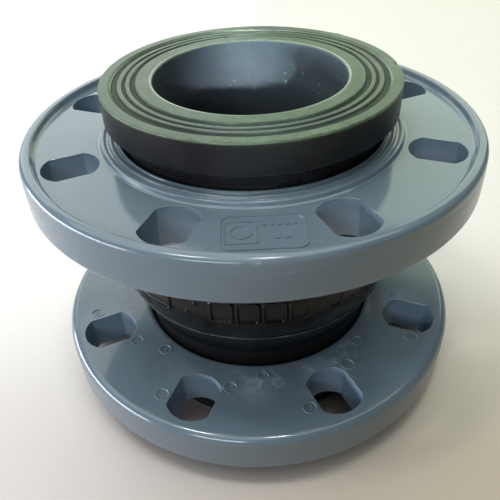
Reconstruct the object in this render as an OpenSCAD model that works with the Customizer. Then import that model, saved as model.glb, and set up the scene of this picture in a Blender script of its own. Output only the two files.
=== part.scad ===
// Single-sphere rubber expansion joint with two loose slotted flanges.
// Z is the flow axis. Z = 0 is the sealing face of the lower bead, on which the joint stands.
// The loose flanges turn freely on the rubber necks, and the rubber wall between the beads flexes.

/* [Overall] */
// Distance between the two sealing faces, free length
face_to_face = 150; // [140:1:165]
// Nominal flow bore, diameter at the beads
bore_d = 82; // [74:1:84]

/* [Rubber bead] */
// Outer diameter of the sealing bead
bead_d = 126.6; // [124:0.2:130]
// Thickness of the sealing bead, face to back
bead_t = 13.5; // [12:0.5:15]
// Depth of the concentric grooves in the sealing face
seal_groove = 1.1; // [0.6:0.1:1.5]
// Rounding of the bore mouth
mouth_r = 1.6; // [0.8:0.2:2.4]

/* [Rubber wall] */
// Outer diameter of the necks that pass through the flanges
neck_d = 115.2; // [112:0.2:115.4]
// Outer diameter of the arch at mid length
arch_d = 138; // [132:1:144]
// Inner diameter of the arch at mid length
arch_bore_d = 114; // [108:1:118]
// Share of the wall taken by the inner tube
tube_share = 0.36; // [0.3:0.01:0.4]
// Share of the wall taken by each fabric ply
ply_share = 0.10; // [0.06:0.01:0.12]
// Gap between neighbouring layers
layer_gap = 0.1; // [0.05:0.05:0.2]

/* [Bead wire] */
// Diameter of one turn of bead wire
wire_d = 1.9; // [1.5:0.1:2]
// Distance between the turns, centre to centre
wire_pitch = 2.05; // [2.02:0.01:2.1]
// Radius of the circle that the bundle's centre runs on
wire_ring_r = 55; // [53:0.5:57]
// Wall of the fabric wrap round the bundle
wrap_t = 0.7; // [0.5:0.1:0.9]

/* [Loose flange] */
// Outer diameter of the flange
flange_d = 200; // [190:1:210]
// Thickness of the flange, back face to rim
flange_t = 20; // [18:0.5:22]
// Bore of the flange, round the rubber neck
flange_bore_d = 116; // [115.8:0.1:117]
// Depth of the recessed face below the rim
face_depth = 3; // [1.5:0.5:3.5]
// Depth of the gripping collar below the rim
collar_depth = 0.8; // [0.4:0.1:1.2]
// Outer diameter of the gripping collar
collar_d = 135; // [132:1:138]
// Height of the upper flange's back face above the lower sealing face
upper_flange_z = 109.1; // [108:0.1:114]

/* [Bolt slots] */
// Number of radial bolt slots
slot_count = 8; // [8:4:8]
// Pitch circle through the middles of the slots
slot_pcd = 162.5; // [160:0.5:163]
// Width of a slot
slot_w = 18.5; // [17:0.5:19]
// End-to-end length of a slot
slot_len = 24; // [21:0.5:24]

/* [Hidden] */

$fn = 96;
mid = face_to_face / 2;
bore_r = bore_d / 2;
bead_r = bead_d / 2;
neck_r = neck_d / 2;
arch_r = arch_d / 2;
arch_bore_r = arch_bore_d / 2;
wrap_r = wire_pitch + wire_d / 2 + 0.15 + wrap_t;
wire_z = bead_t / 2 + 0.6;
// the crown of the arch is a circular arc, then a straight flank, then a fillet into the neck
crown_r = 40;
crown_h = 17.7;
flank_h = 32;
neck_h = 37.5;
crown_end = arch_r - (crown_r - sqrt(crown_r * crown_r - crown_h * crown_h));
flank_slope = (crown_end - neck_r) / ((flank_h - crown_h) + (neck_h - flank_h) / 2);
bore_flare_h = 56;
joint_z0 = bead_t + 0.1;
joint_z1 = face_to_face - bead_t - 0.1;

function clamp01(t) = min(1, max(0, t));
function smooth(t) = let (u = clamp01(t)) u * u * (3 - 2 * u);
// outer radius of the rubber wall at height h above or below mid length
function outer_r(h) =
    let (a = abs(h))
    a < crown_h ? arch_r - (crown_r - sqrt(crown_r * crown_r - a * a)) :
    a < flank_h ? crown_end - flank_slope * (a - crown_h) :
    a < neck_h ? neck_r + flank_slope * (neck_h - a) * (neck_h - a) / (2 * (neck_h - flank_h)) :
    neck_r;
// inner radius of the rubber wall at height h above or below mid length
function inner_r(h) = arch_bore_r - (arch_bore_r - bore_r) * smooth(abs(h) / bore_flare_h);
// radius at a share s of the wall, counted from the bore
function wall_r(h, s) = inner_r(h) + s * (outer_r(h) - inner_r(h));
// heights at which the wall is drawn, closer together round the arch
WALL_STEPS = [joint_z0, 17, 20.5, 24.5, 29, 33, 37.5, 40, 43, 46.5, 50, 53.5, 57.3, 60.5, 64, 67.5, 71, 75];
wall_z = concat([for (z = WALL_STEPS) z],
                [for (i = [len(WALL_STEPS) - 2 : -1 : 0]) face_to_face - WALL_STEPS[i]]);

// one layer of the rubber wall, between the shares s0 and s1 of its thickness
module wall_layer(s0, s1, g0, g1) {
    rotate_extrude($fn = 128)
        polygon(concat(
            [for (z = wall_z) [wall_r(z - mid, s0) + g0, z]],
            [for (i = [len(wall_z) - 1 : -1 : 0]) [wall_r(wall_z[i] - mid, s1) - g1, wall_z[i]]]));
}

// a quarter round of radius r about c, from angle a0 to a1
function arc(c, r, a0, a1, n) = [for (i = [0 : n]) let (a = a0 + (a1 - a0) * i / n) c + r * [cos(a), sin(a)]];

// half section of a bead, with its sealing face up at z = 0 and its back at z = -bead_t
function bead_section() = concat(
    [[bore_r, -bead_t]],
    arc([bore_r + mouth_r, -mouth_r], mouth_r, 180, 90, 5),
    [[48.0, 0], [48.7, -seal_groove], [49.9, -seal_groove], [50.4, -0.3], [52.0, -0.3],
     [52.5, -seal_groove], [53.3, -seal_groove], [53.8, -0.3], [55.4, -0.3],
     [55.9, -seal_groove], [57.6, -seal_groove], [59.0, 0]],
    arc([bead_r - 1, -1], 1, 90, 0, 4),
    arc([bead_r - 1, -bead_t + 1], 1, 0, -90, 4));

// moulded rubber bead with the channel that its wire bundle lies in
module bead() {
    difference() {
        rotate_extrude($fn = 128) polygon(bead_section());
        translate([0, 0, -bead_t + wire_z])
            rotate_extrude($fn = 128) translate([wire_ring_r, 0]) circle(r = wrap_r + 0.05, $fn = 32);
    }
}

// seven turns of bead wire in a round bundle
module bead_wire() {
    for (i = [0 : 6])
        let (p = i == 0 ? [0, 0] : wire_pitch * [cos(60 * i), sin(60 * i)])
            rotate_extrude($fn = 128) translate([wire_ring_r + p[0], p[1]]) circle(d = wire_d, $fn = 24);
}

// fabric tape wrapped round the wire bundle
module bead_wrap() {
    difference() {
        rotate_extrude($fn = 128) translate([wire_ring_r, 0]) circle(r = wrap_r, $fn = 32);
        rotate_extrude($fn = 128) translate([wire_ring_r, 0]) circle(r = wrap_r - wrap_t, $fn = 32);
    }
}

// half section of the loose flange, back face at z = 0, gripping side up
function flange_section() =
    let (R = flange_d / 2, T = flange_t, b = flange_bore_d / 2, c = collar_d / 2,
         zf = T - face_depth, zc = T - collar_depth)
    concat(
        [[b, T - 2.4], [b, 2.5]],
        arc([b + 2.5, 2.5], 2.5, 180, 270, 4),
        arc([R - 4, 4], 4, 270, 360, 6),
        [[R, T - 5.6], [R - 0.15, T - 5.5]],
        arc([R - 2.75, T - 2.6], 2.6, 0, 90, 5),
        [[95.9, T], [95.2, T - 0.35], [94.3, zf + 0.7], [93.5, zf]],
        [[c, zf], [c - 0.8, zf + 0.4], [c - 1.4, zc], [c - 2.6, zc],
         [c - 3.4, zc - 1.1], [c - 4.4, zc - 1.1], [c - 5.0, zc], [c - 5.8, zc],
         [c - 6.6, zc - 1.1], [c - 7.5, zc - 1.1], [c - 8.1, zc], [c - 8.8, zc]]);

// one radial bolt slot along +X, cut right through
module bolt_slot() {
    half = (slot_len - slot_w) / 2;
    for (s = [-1, 1])
        translate([slot_pcd / 2 + s * half, 0, -1]) cylinder(d = slot_w, h = flange_t + 2, $fn = 64);
    translate([slot_pcd / 2 - half, -slot_w / 2, -1]) cube([2 * half, slot_w, flange_t + 2]);
}

// loose backing flange with its plain back face at z = 0
module flange() {
    difference() {
        rotate_extrude($fn = 180) polygon(flange_section());
        for (i = [0 : slot_count - 1]) rotate([0, 0, 360 / slot_count * i]) bolt_slot();
    }
}

module lower_bead() {
    color([0.13, 0.14, 0.14]) mirror([0, 0, 1]) bead();
}

module lower_bead_wire() {
    color([0.62, 0.56, 0.42]) translate([0, 0, bead_t - wire_z]) bead_wire();
}

module lower_bead_wrap() {
    color([0.75, 0.72, 0.62]) translate([0, 0, bead_t - wire_z]) bead_wrap();
}

module inner_tube() {
    color([0.16, 0.17, 0.19]) wall_layer(0, tube_share, 0, layer_gap);
}

module inner_ply() {
    color([0.80, 0.76, 0.64]) wall_layer(tube_share, tube_share + ply_share, 0, layer_gap);
}

module outer_ply() {
    color([0.74, 0.70, 0.58])
        wall_layer(tube_share + ply_share, tube_share + 2 * ply_share, 0, layer_gap);
}

module outer_cover() {
    color([0.09, 0.09, 0.10]) wall_layer(tube_share + 2 * ply_share, 1, 0, 0);
}

module upper_bead() {
    color([0.13, 0.14, 0.14]) translate([0, 0, face_to_face]) bead();
}

module upper_bead_wire() {
    color([0.62, 0.56, 0.42]) translate([0, 0, face_to_face - bead_t + wire_z]) bead_wire();
}

module upper_bead_wrap() {
    color([0.75, 0.72, 0.62]) translate([0, 0, face_to_face - bead_t + wire_z]) bead_wrap();
}

module lower_flange() {
    color([0.36, 0.42, 0.45])
        translate([0, 0, bead_t + 0.1 - collar_depth + flange_t]) mirror([0, 0, 1]) flange();
}

module upper_flange() {
    color([0.45, 0.52, 0.55]) translate([0, 0, upper_flange_z]) flange();
}

lower_bead();
lower_bead_wire();
lower_bead_wrap();
inner_tube();
inner_ply();
outer_ply();
outer_cover();
upper_bead();
upper_bead_wire();
upper_bead_wrap();
lower_flange();
upper_flange();
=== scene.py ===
import math
import bpy
import numpy as np
from mathutils import Matrix, Vector


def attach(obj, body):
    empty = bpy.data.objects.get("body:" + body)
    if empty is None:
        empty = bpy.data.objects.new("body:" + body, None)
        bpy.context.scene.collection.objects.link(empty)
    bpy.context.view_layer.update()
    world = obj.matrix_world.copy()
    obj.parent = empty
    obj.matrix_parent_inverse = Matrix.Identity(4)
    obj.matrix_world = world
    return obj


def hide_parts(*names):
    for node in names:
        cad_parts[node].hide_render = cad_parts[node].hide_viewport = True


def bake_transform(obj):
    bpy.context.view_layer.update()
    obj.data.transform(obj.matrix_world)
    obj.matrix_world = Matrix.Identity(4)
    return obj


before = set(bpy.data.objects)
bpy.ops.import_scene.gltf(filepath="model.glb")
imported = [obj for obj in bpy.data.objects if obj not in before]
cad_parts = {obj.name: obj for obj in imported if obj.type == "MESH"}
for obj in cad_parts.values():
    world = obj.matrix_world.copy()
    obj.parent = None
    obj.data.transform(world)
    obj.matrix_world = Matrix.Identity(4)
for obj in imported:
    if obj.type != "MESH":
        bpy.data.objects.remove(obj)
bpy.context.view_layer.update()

MM = 0.001
TAU = 2 * math.pi

# ---------------------------------------------------------------- sizes, millimetres, as in the CAD model
FACE = 150.0          # between the sealing faces
MID = FACE / 2
BORE_R, BEAD_R, BEAD_T = 41.0, 63.3, 13.5
NECK_R, ARCH_R, ARCH_BORE_R = 57.6, 69.0, 57.0
FLANGE_R, FLANGE_T, FLANGE_BORE = 100.0, 20.0, 58.0
LOWER_BACK, UPPER_BACK = 32.8, 109.1
FACE_DEPTH = 3.0      # the recessed face below the rim
# each slot widens a little from the recessed face to the plain back: middle, width and length at either end
SLOT_FACE, SLOT_BACK = (80.6, 18.4, 23.4), (81.3, 20.0, 25.2)
COLLAR = 67.5
WRAP_R = 2.05 + 0.95 + 0.15 + 0.7
WIRE_RING, WIRE_Z = 55.0, BEAD_T / 2 + 0.6
JOINT_Z0, JOINT_Z1 = BEAD_T + 0.1, FACE - BEAD_T - 0.1
# where the wall hands over from one body to the next
CUTS = [JOINT_Z0, 33.0, 46.0, 61.0, 81.0, 96.0, 109.0, JOINT_Z1]


# ---------------------------------------------------------------- small geometry helpers
def arc(cx, cy, r, a0, a1, n):
    return [(cx + r * math.cos(math.radians(a0 + (a1 - a0) * i / n)), cy + r * math.sin(math.radians(a0 + (a1 - a0) * i / n)))
            for i in range(n + 1)]


def rounded(points, radius, n=4, closed=True):
    """The polyline with each corner turned into an arc of at most that radius. A point may carry its own radius as a third value."""
    out = []
    count = len(points)
    for i, p in enumerate(points):
        if not closed and i in (0, count - 1):
            out.append(p[:2])
            continue
        r = p[2] if len(p) > 2 else radius
        a, b, c = Vector(points[i - 1][:2]), Vector(p[:2]), Vector(points[(i + 1) % count][:2])
        u, v = (a - b), (c - b)
        lu, lv = u.length, v.length
        if r <= 0 or lu < 1e-6 or lv < 1e-6:
            out.append(p[:2])
            continue
        u, v = u / lu, v / lv
        cosang = max(-1, min(1, u.dot(v)))
        half = math.acos(cosang) / 2
        if half > math.radians(86) or half < 0.02:
            out.append(p[:2])
            continue
        t = min(r / math.tan(half), 0.48 * lu, 0.48 * lv)
        rr = t * math.tan(half)
        centre = b + (u + v).normalized() * (rr / math.sin(half))
        s, e = b + u * t, b + v * t
        a0 = math.atan2(s.y - centre.y, s.x - centre.x)
        a1 = math.atan2(e.y - centre.y, e.x - centre.x)
        d = (a1 - a0 + math.pi) % TAU - math.pi
        k = max(1, min(n, int(math.ceil(abs(d) / math.radians(18)))))
        for j in range(k + 1):
            ang = a0 + d * j / k
            out.append((centre.x + rr * math.cos(ang), centre.y + rr * math.sin(ang)))
    return out


def divide(points, step, closed=True):
    """The polyline with its long edges cut into pieces no longer than step."""
    out = []
    count = len(points)
    for i in range(count if closed else count - 1):
        a, b = points[i], points[(i + 1) % count]
        k = max(1, int(math.ceil(math.dist(a, b) / step)))
        out += [(a[0] + (b[0] - a[0]) * j / k, a[1] + (b[1] - a[1]) * j / k) for j in range(k)]
    if not closed:
        out.append(points[-1])
    return out


def signed_area(points):
    return sum(points[i - 1][0] * p[1] - p[0] * points[i - 1][1] for i, p in enumerate(points)) / 2


def new_mesh(name, verts, faces):
    me = bpy.data.meshes.new(name)
    me.from_pydata([tuple(v) for v in verts], [], [tuple(int(i) for i in f) for f in faces])
    me.update()
    return me


def new_object(name, me):
    o = bpy.data.objects.new(name, me)
    bpy.context.scene.collection.objects.link(o)
    return o


def lathe(profile, segs, inward=False):
    """Vertices and faces, in millimetres, of the closed profile (r, z) turned about Z. The faces look out of the profile, or into it."""
    prof = profile if signed_area(profile) > 0 else profile[::-1]
    p = np.array(prof, float)
    n = len(p)
    ang = np.arange(segs) * TAU / segs
    verts = np.stack([np.outer(np.cos(ang), p[:, 0]), np.outer(np.sin(ang), p[:, 0]), np.tile(p[:, 1], (segs, 1))], -1).reshape(-1, 3)
    i, j = np.meshgrid(np.arange(segs), np.arange(n), indexing="ij")
    i2, j2 = (i + 1) % segs, (j + 1) % n
    quads = np.stack([i * n + j, i2 * n + j, i2 * n + j2, i * n + j2], -1).reshape(-1, 4)
    if inward:
        quads = quads[:, ::-1]
    return verts, quads


def merge(*shells):
    verts, faces, base = [], [], 0
    for v, f in shells:
        verts.append(np.asarray(v, float))
        faces += [tuple(int(i) + base for i in q) for q in f]
        base += len(v)
    return np.concatenate(verts), faces


def slot_outline(middle, width, length, grow, ang, n=14):
    """Outline of a slot along the direction ang. Its ends are arcs flatter than half circles, which meet the straight sides in tight corners."""
    w, l = width / 2 + grow, length / 2 + grow
    end_r, corner = 0.62 * width + grow, 1.1 + grow
    cx = l - end_r
    fx, fy = cx + math.sqrt((end_r - corner) ** 2 - (w - corner) ** 2), w - corner
    a = math.degrees(math.atan2(fy, fx - cx))
    quarter = arc(cx, 0, end_r, 0, a, n) + arc(fx, fy, corner, a, 90, 6)[1:]
    pts = quarter + [(-x, y) for x, y in quarter[::-1]]
    pts += [(-x, -y) for x, y in quarter[1:]] + [(x, -y) for x, y in quarter[::-1][:-1]]
    return turn([(middle + x, y) for x, y in pts], ang)


def loft(rings):
    """A closed solid through rings of the same number of points, each a list of (x, y, z), from bottom to top."""
    n = len(rings[0])
    verts = [p for r in rings for p in r]
    faces = []
    for k in range(len(rings) - 1):
        for i in range(n):
            j = (i + 1) % n
            faces.append((k * n + i, k * n + j, (k + 1) * n + j, (k + 1) * n + i))
    faces.append(tuple(range(n))[::-1])
    faces.append(tuple(range((len(rings) - 1) * n, len(rings) * n)))
    return np.array(verts, float), faces


def ridge(path, z0, z1, w_base, w_top, closed=True):
    """A low raised line along a path in the plane, with sloping sides: a closed ring of trapezoid section."""
    n = len(path)
    verts, faces = [], []
    for i, p in enumerate(path):
        a = Vector(path[i - 1]) if closed or i else Vector(p)
        b = Vector(path[(i + 1) % n]) if closed or i < n - 1 else Vector(p)
        d = (b - a).normalized()
        m = Vector((-d.y, d.x))
        for off, z in ((-w_base / 2, z0), (w_base / 2, z0), (w_top / 2, z1), (-w_top / 2, z1)):
            verts.append((p[0] + m.x * off, p[1] + m.y * off, z))
    for i in range(n if closed else n - 1):
        j = (i + 1) % n
        for k in range(4):
            l = (k + 1) % 4
            faces.append((i * 4 + k, i * 4 + l, j * 4 + l, j * 4 + k))
    if not closed:
        faces.append((0, 1, 2, 3))
        faces.append(tuple(4 * (n - 1) + k for k in (3, 2, 1, 0)))
    return np.array(verts, float), faces


def turn(points, ang):
    c, s = math.cos(ang), math.sin(ang)
    return [(x * c - y * s, x * s + y * c) for x, y in points]


def temp_object(name, shells):
    v, f = merge(*shells)
    me = new_mesh(name, v, f)
    me.validate()
    o = new_object(name, me)
    bpy.ops.object.select_all(action="DESELECT")
    bpy.context.view_layer.objects.active = o
    o.select_set(True)
    bpy.ops.object.mode_set(mode="EDIT")
    bpy.ops.mesh.select_all(action="SELECT")
    bpy.ops.mesh.normals_make_consistent(inside=False)
    bpy.ops.object.mode_set(mode="OBJECT")
    return o


def carve(target, operation, tool):
    m = target.modifiers.new("cut", "BOOLEAN")
    m.operation, m.solver, m.object = operation, "MANIFOLD", tool
    dg = bpy.context.evaluated_depsgraph_get()
    me = bpy.data.meshes.new_from_object(target.evaluated_get(dg))
    target.modifiers.clear()
    old = target.data
    target.data = me
    bpy.data.meshes.remove(old)
    bpy.data.objects.remove(tool)


def to_metres(o):
    o.data.transform(Matrix.Scale(MM, 4))
    o.data.update()


def keep_rest(me):
    """Stores where each point lies at rest, so that the surface pattern stays on the rubber as it bends."""
    co = np.zeros(len(me.vertices) * 3, np.float32)
    me.vertices.foreach_get("co", co)
    a = me.attributes.get("rest_co") or me.attributes.new("rest_co", "FLOAT_VECTOR", "POINT")
    a.data.foreach_set("vector", co)


def smooth_by_angle(o, degrees, weighted=True):
    o.data.shade_smooth()
    o.data.set_sharp_from_angle(angle=math.radians(degrees))
    if weighted:
        m = o.modifiers.new("normals", "WEIGHTED_NORMAL")
        m.keep_sharp, m.weight = True, 50
        dg = bpy.context.evaluated_depsgraph_get()
        me = bpy.data.meshes.new_from_object(o.evaluated_get(dg))
        o.modifiers.clear()
        old = o.data
        o.data = me
        bpy.data.meshes.remove(old)


def hash01(k):
    return math.modf(abs(math.sin(k * 12.9898 + 4.1414) * 43758.5453))[0]


# ejector pin marks on the plain back: radius, degrees from the slot, radius of the pin
PINS = [(72.5, -10.5, 2.55), (86.0, 9.5, 2.6), (65.5, 22.5, 2.3)]


# ---------------------------------------------------------------- materials
class Tree:
    """Builds one procedural material. Positions are the rest position of the surface, in metres."""

    def __init__(self, name, carried=False):
        self.mat = bpy.data.materials.new(name)
        self.mat.use_nodes = True
        self.nt = self.mat.node_tree
        self.nt.nodes.clear()
        self.out = self.node("ShaderNodeOutputMaterial")
        self.bsdf = self.node("ShaderNodeBsdfPrincipled")
        self.nt.links.new(self.bsdf.outputs["BSDF"], self.out.inputs["Surface"])
        if carried:
            self.pos = self.node("ShaderNodeTexCoord").outputs["Object"]
        else:
            a = self.node("ShaderNodeAttribute")
            a.attribute_type, a.attribute_name = "GEOMETRY", "rest_co"
            self.pos = a.outputs["Vector"]
        s = self.node("ShaderNodeSeparateXYZ")
        self.link(self.pos, s.inputs[0])
        self.x, self.y, self.z = s.outputs
        self.r = self.m("SQRT", self.m("ADD", self.m("MULTIPLY", self.x, self.x), self.m("MULTIPLY", self.y, self.y)))

    def node(self, kind):
        return self.nt.nodes.new(kind)

    def link(self, a, b):
        self.nt.links.new(a, b)

    def put(self, socket, value):
        if isinstance(value, bpy.types.NodeSocket):
            self.link(value, socket)
        else:
            socket.default_value = value

    def m(self, op, a, b=None, c=None, clamp=False):
        n = self.node("ShaderNodeMath")
        n.operation, n.use_clamp = op, clamp
        self.put(n.inputs[0], a)
        if b is not None:
            self.put(n.inputs[1], b)
        if c is not None:
            self.put(n.inputs[2], c)
        return n.outputs[0]

    def vec(self, op, a, b=None, scale=None):
        n = self.node("ShaderNodeVectorMath")
        n.operation = op
        self.put(n.inputs[0], a)
        if b is not None:
            self.put(n.inputs[1], b)
        if scale is not None:
            self.put(n.inputs["Scale"], scale)
        return n.outputs[0]

    def xyz(self, x, y, z):
        n = self.node("ShaderNodeCombineXYZ")
        for s, v in zip(n.inputs, (x, y, z)):
            self.put(s, v)
        return n.outputs[0]

    def noise(self, scale, detail=4.0, rough=0.55, vector=None, distort=0.0, colour=False):
        n = self.node("ShaderNodeTexNoise")
        self.link(vector or self.pos, n.inputs["Vector"])
        n.inputs["Scale"].default_value = scale
        n.inputs["Detail"].default_value = detail
        n.inputs["Roughness"].default_value = rough
        n.inputs["Distortion"].default_value = distort
        return n.outputs["Color" if colour else "Fac"]

    def cells(self, scale, vector=None, feature="F1", random=1.0, output="Distance"):
        n = self.node("ShaderNodeTexVoronoi")
        n.feature = feature
        self.link(vector or self.pos, n.inputs["Vector"])
        n.inputs["Scale"].default_value = scale
        n.inputs["Randomness"].default_value = random
        return n.outputs[output]

    def step(self, value, lo, hi):
        """0 below lo, 1 above hi, smooth between; lo above hi turns it round."""
        n = self.node("ShaderNodeMapRange")
        n.interpolation_type = "SMOOTHSTEP"
        flip = lo > hi
        n.inputs["From Min"].default_value = hi if flip else lo
        n.inputs["From Max"].default_value = lo if flip else hi
        n.inputs["To Min"].default_value = 1.0 if flip else 0.0
        n.inputs["To Max"].default_value = 0.0 if flip else 1.0
        self.put(n.inputs["Value"], value)
        return n.outputs["Result"]

    def span(self, value, lo, hi, a, b):
        n = self.node("ShaderNodeMapRange")
        n.inputs["From Min"].default_value = lo
        n.inputs["From Max"].default_value = hi
        n.inputs["To Min"].default_value = a
        n.inputs["To Max"].default_value = b
        self.put(n.inputs["Value"], value)
        return n.outputs["Result"]

    def near(self, value, centre, width):
        """1 at centre, 0 beyond width."""
        return self.step(self.m("ABSOLUTE", self.m("SUBTRACT", value, centre)), width, 0.0)

    def mix(self, fac, a, b, blend="MIX"):
        n = self.node("ShaderNodeMix")
        n.data_type, n.blend_type = "RGBA", blend
        self.put(n.inputs[0], fac)
        self.put(n.inputs[6], a if isinstance(a, bpy.types.NodeSocket) else (*a, 1.0))
        self.put(n.inputs[7], b if isinstance(b, bpy.types.NodeSocket) else (*b, 1.0))
        return n.outputs[2]

    def bump(self, height, distance, strength=1.0, normal=None):
        n = self.node("ShaderNodeBump")
        n.inputs["Distance"].default_value = distance
        n.inputs["Strength"].default_value = strength
        self.link(height, n.inputs["Height"])
        if normal is not None:
            self.link(normal, n.inputs["Normal"])
        return n.outputs["Normal"]

    def angle(self):
        return self.m("ARCTAN2", self.y, self.x)

    def set(self, **sockets):
        for k, v in sockets.items():
            self.put(self.bsdf.inputs[k.replace("_", " ")], v)
        return self.mat


def slot_distance(t, sizes):
    """Distance in metres from the nearest bolt slot's edge, positive outside it."""
    middle, width, length = sizes
    k = t.m("MULTIPLY", t.m("ROUND", t.m("DIVIDE", t.angle(), math.pi / 4)), math.pi / 4)
    phi = t.m("SUBTRACT", t.angle(), k)
    u = t.m("SUBTRACT", t.m("MULTIPLY", t.r, t.m("COSINE", phi)), middle * MM)
    v = t.m("MULTIPLY", t.r, t.m("SINE", phi))
    du = t.m("MAXIMUM", t.m("SUBTRACT", t.m("ABSOLUTE", u), (length - width) / 2 * MM), 0.0)
    d = t.m("SQRT", t.m("ADD", t.m("MULTIPLY", du, du), t.m("MULTIPLY", v, v)))
    return t.m("SUBTRACT", d, width / 2 * MM)


def pin_distance(t, place, sign):
    """Distance in metres from the middle of the nearest ejector mark of one kind."""
    r0, off, rad = place
    a = t.m("SUBTRACT", t.angle(), math.radians(sign * off))
    phi = t.m("SUBTRACT", a, t.m("MULTIPLY", t.m("ROUND", t.m("DIVIDE", a, math.pi / 4)), math.pi / 4))
    u = t.m("SUBTRACT", t.m("MULTIPLY", t.r, t.m("COSINE", phi)), r0 * MM)
    v = t.m("MULTIPLY", t.r, t.m("SINE", phi))
    return t.m("SQRT", t.m("ADD", t.m("MULTIPLY", u, u), t.m("MULTIPLY", v, v)))


def plastic(name, back_z, up):
    """Injection-moulded grey plastic of a loose flange whose plain back lies at back_z and whose gripping side is up or down."""
    t = Tree(name)
    deep = t.m("MULTIPLY", t.m("SUBTRACT", t.z, back_z * MM), 1.0 if up else -1.0)      # 0 at the back, 0.020 at the rim
    clouds = t.noise(26, 3, 0.6, distort=0.7)
    flow = t.noise(95, 4, 0.6, vector=t.xyz(t.m("MULTIPLY", t.angle(), 0.022), t.m("MULTIPLY", t.r, 1.0), t.z), distort=1.2)
    colour = t.mix(t.step(clouds, 0.3, 0.72), (0.102, 0.139, 0.170), (0.113, 0.153, 0.187))
    colour = t.mix(t.m("MULTIPLY", t.step(flow, 0.52, 0.75), 0.14), colour, (0.155, 0.205, 0.255))
    # fine pale and dark specks, as regrind and dust leave in the moulding
    speck = t.m("MULTIPLY", t.step(t.cells(900), 0.10, 0.05), t.step(t.noise(140, 2), 0.55, 0.68))
    colour = t.mix(t.m("MULTIPLY", speck, 0.30), colour, (0.30, 0.34, 0.34))
    dark = t.m("MULTIPLY", t.step(t.cells(520, vector=t.vec("ADD", t.pos, (0.31, 0.12, 0.05))), 0.09, 0.04), t.step(t.noise(90, 2, vector=t.vec("ADD", t.pos, (0.5, 0.2, 0.1))), 0.56, 0.7))
    colour = t.mix(t.m("MULTIPLY", dark, 0.5), colour, (0.035, 0.045, 0.05))
    # edges rubbed a little paler: slot edges, parting line
    at_back, at_face = t.near(deep, 0.0, 0.0009), t.near(deep, (FLANGE_T - FACE_DEPTH) * MM, 0.0009)
    edge_b = t.m("MULTIPLY", t.near(slot_distance(t, SLOT_BACK), 0.0002, 0.0006), at_back)
    edge_f = t.m("MULTIPLY", t.near(slot_distance(t, SLOT_FACE), 0.0002, 0.0006), at_face)
    parting = t.m("MULTIPLY", t.near(deep, 0.0144, 0.00025), t.step(t.r, 0.099, 0.0995))
    wear_noise = t.step(t.noise(160, 4, 0.65), 0.46, 0.66)
    wear = t.m("MULTIPLY", t.m("MAXIMUM", t.m("MAXIMUM", edge_b, edge_f), t.m("MULTIPLY", parting, 0.5)), t.m("ADD", t.m("MULTIPLY", wear_noise, 0.8), 0.1))
    colour = t.mix(t.m("MULTIPLY", wear, 0.45, clamp=True), colour, (0.27, 0.32, 0.34))
    # chalky smears on the plain back near the bore and round the pin marks
    back = t.step(deep, 0.0015, 0.0003)
    swirl = t.noise(30, 3, 0.5, distort=3.0)
    band = t.m("MULTIPLY", t.m("MULTIPLY", t.step(swirl, 0.46, 0.56), t.step(swirl, 0.68, 0.57)), t.step(t.noise(300, 4, 0.7), 0.30, 0.62))
    patch = t.step(t.noise(17, 2, 0.5, vector=t.vec("ADD", t.pos, (0.7, 0.1, 0.4))), 0.46, 0.58)
    where = t.m("MULTIPLY", t.step(t.r, 0.0600, 0.0625), t.step(t.r, 0.0830, 0.0690))
    smear = t.m("MULTIPLY", t.m("MULTIPLY", band, patch), t.m("MULTIPLY", back, where))
    colour = t.mix(t.m("MULTIPLY", smear, 0.36), colour, (0.27, 0.34, 0.37))
    # plastic whitened round each ejector mark
    white = None
    for place in PINS:
        d = pin_distance(t, place, 1 if up else -1)
        one = t.m("MAXIMUM", t.near(d, (place[2] + 0.42) * MM, 0.00050), t.m("MULTIPLY", t.near(d, place[2] * 0.42 * MM, 0.0005), 0.3))
        white = one if white is None else t.m("MAXIMUM", white, one)
    white = t.m("MULTIPLY", t.m("MULTIPLY", white, t.step(deep, 0.0012, 0.0006)), t.span(t.noise(260, 4, 0.7), 0.38, 0.62, 0.05, 1.0))
    white = t.m("MULTIPLY", white, t.span(t.noise(24, 2, 0.5, vector=t.vec("ADD", t.pos, (0.3, 0.8, 0.2))), 0.36, 0.62, 0.12, 1.0))
    colour = t.mix(t.m("MULTIPLY", white, 0.60, clamp=True), colour, (0.36, 0.43, 0.45))
    # the slot walls, drawn off unpolished cores, are duller; they are also painted paler and bluer as light falling
    # into the slots
    wall = t.m("MULTIPLY", t.step(slot_distance(t, SLOT_BACK), 0.0016, 0.0010), t.m("MULTIPLY", t.step(deep, 0.0003, 0.0007), t.step(deep, (FLANGE_T - FACE_DEPTH - 0.3) * MM, (FLANGE_T - FACE_DEPTH - 0.7) * MM)))
    colour = t.mix(t.m("MULTIPLY", wall, 0.85), colour, (0.170, 0.242, 0.325))
    # darker in a thin ring at the foot of the collar
    collar_foot_dark = t.m("MULTIPLY", t.m("MULTIPLY", t.near(t.r, 0.0680, 0.0012), t.near(deep, (FLANGE_T - FACE_DEPTH) * MM, 0.0005)), t.noise(330, 3))
    colour = t.mix(t.m("MULTIPLY", collar_foot_dark, 0.5), colour, (0.05, 0.065, 0.07))
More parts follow.
